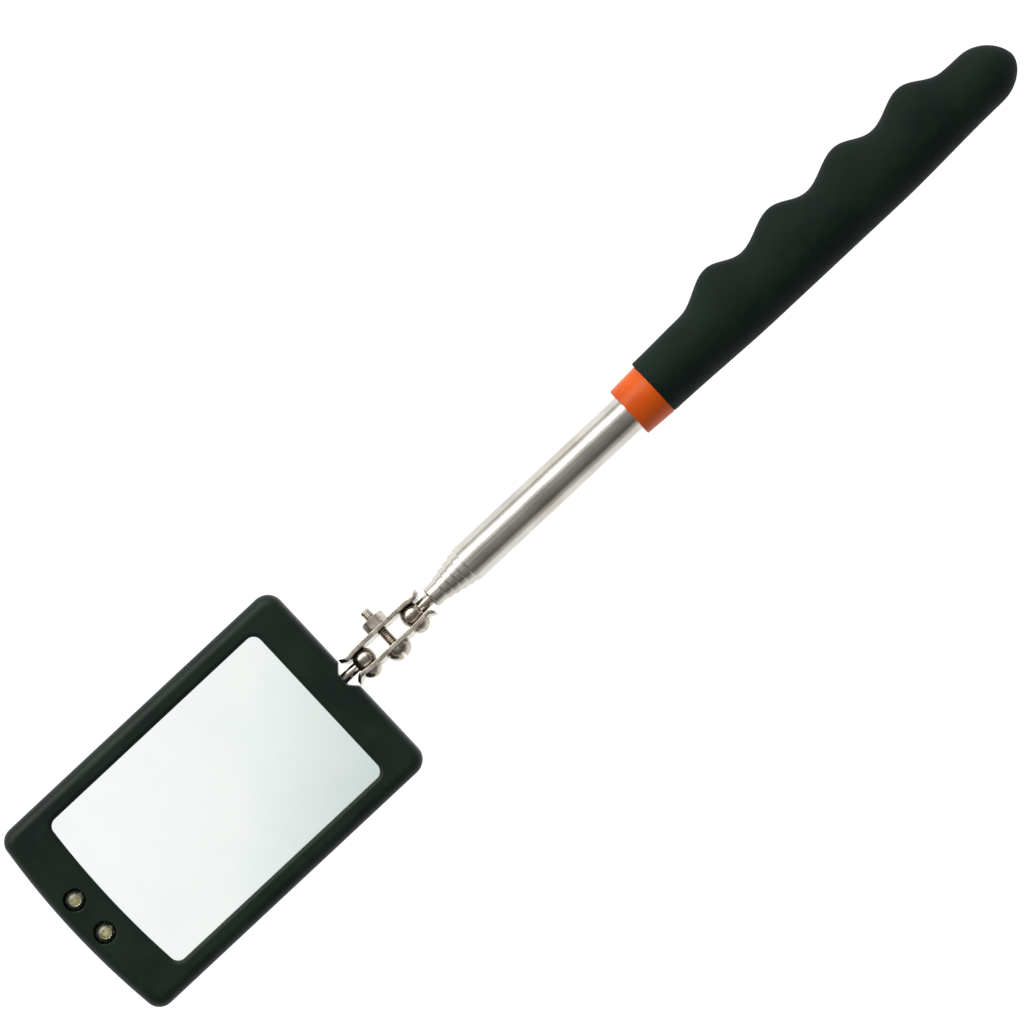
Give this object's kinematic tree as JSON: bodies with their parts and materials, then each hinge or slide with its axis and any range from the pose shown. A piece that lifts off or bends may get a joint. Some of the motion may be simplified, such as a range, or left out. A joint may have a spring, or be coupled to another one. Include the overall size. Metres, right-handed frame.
{
  "type": "telescoping inspection mirror",
  "caption": "Lit rectangular inspection mirror on a double ball link and a telescopic tube handle with a finger-ridged soft grip.",
  "frame": {"origin": "under the middle of the whole part, on the plane that the mirror head's back and the grip rest on", "axes": "+X along the handle from the lit end of the mirror to the end of the grip, +Z out of the mirror's face, +Y to the grip's finger side"},
  "size_m": [0.2926, 0.0538, 0.0151],
  "materials": {
    "casing": "black ABS, moulded, satin",
    "mirror": "silvered float glass",
    "lens": "clear epoxy LED lens",
    "backing": "grey styrene sheet",
    "circuit": "solder-masked glass fibre board",
    "cell_steel": "nickel-plated steel",
    "plated": "nickel-plated, polished",
    "bronze": "phosphor bronze spring",
    "knob_plastic": "dark grey nylon",
    "collar_plastic": "orange, glossy",
    "grip_rubber": "black dipped vinyl, soft matte"
  },
  "bodies": {
    "handle": {"grip": "grip_rubber", "collar": "collar_plastic", "tube_1": "plated"},
    "section_2": {"tube_2": "plated", "friction_sleeve_2": "bronze"},
    "section_3": {"tube_3": "plated", "friction_sleeve_3": "bronze"},
    "section_4": {"tube_4": "plated", "friction_sleeve_4": "bronze"},
    "section_5": {"tube_5": "plated", "friction_sleeve_5": "bronze"},
    "section_6_sleeve": {"friction_sleeve_6": "bronze"},
    "section_6": {"tube_6": "plated", "rear_ball_stud": "plated"},
    "link": {"clamp_plate_left": "plated", "clamp_plate_right": "plated", "clamp_screw": "plated", "clamp_nut": "plated"},
    "head_stem": {"front_ball_stud": "plated", "stem_nut": "plated"},
    "head": {"front_frame": "casing", "rear_cover": "casing", "mirror_glass": "mirror", "mirror_backing": "backing", "led_left": "lens", "led_right": "lens", "led_board": "circuit", "coin_cell_lower": "cell_steel", "coin_cell_upper": "cell_steel", "battery_contact_upper": "plated", "battery_contact_side": "plated", "switch_body": "cell_steel", "case_screw_1": "plated", "case_screw_2": "plated", "case_screw_3": "plated", "case_screw_4": "plated"},
    "door": {"battery_door": "casing"},
    "knob": {"switch_knob": "knob_plastic"}
  },
  "joints": [
    {"name": "slide_2", "type": "slide", "parent": "handle", "child": "section_2", "axis": [-1, 0, 0], "range_m": [0, 0.13]},
    {"name": "slide_3", "type": "slide", "parent": "section_2", "child": "section_3", "axis": [-1, 0, 0], "range_m": [0, 0.13]},
    {"name": "slide_4", "type": "slide", "parent": "section_3", "child": "section_4", "axis": [-1, 0, 0], "range_m": [0, 0.13]},
    {"name": "slide_5", "type": "slide", "parent": "section_4", "child": "section_5", "axis": [-1, 0, 0], "range_m": [0, 0.13]},
    {"name": "slide_6", "type": "slide", "parent": "section_5", "child": "section_6_sleeve", "axis": [-1, 0, 0], "range_m": [0, 0.13]},
    {"name": "stem_twist", "type": "hinge", "parent": "section_6_sleeve", "child": "section_6", "pos_m": [-0.0409, 0, 0.0076], "axis": [1, 0, 0], "continuous": true},
    {"name": "link_swing", "type": "hinge", "parent": "section_6", "child": "link", "pos_m": [-0.0409, 0, 0.0076], "axis": [0, 0.9903, -0.1392], "range_deg": [-100, 100]},
    {"name": "head_swing", "type": "hinge", "parent": "link", "child": "head_stem", "pos_m": [-0.0557, 0, 0.0076], "axis": [0, -0.9903, 0.1392], "range_deg": [-90, 90]},
    {"name": "head_twist", "type": "hinge", "parent": "head_stem", "child": "head", "pos_m": [-0.0557, 0, 0.0076], "axis": [1, 0, 0], "continuous": true},
    {"name": "door_slide", "type": "slide", "parent": "head", "child": "door", "axis": [-1, 0, 0], "range_m": [0, 0.03]},
    {"name": "switch_slide", "type": "slide", "parent": "head", "child": "knob", "axis": [1, 0, 0], "range_m": [0, 0.0024]}
  ]
}
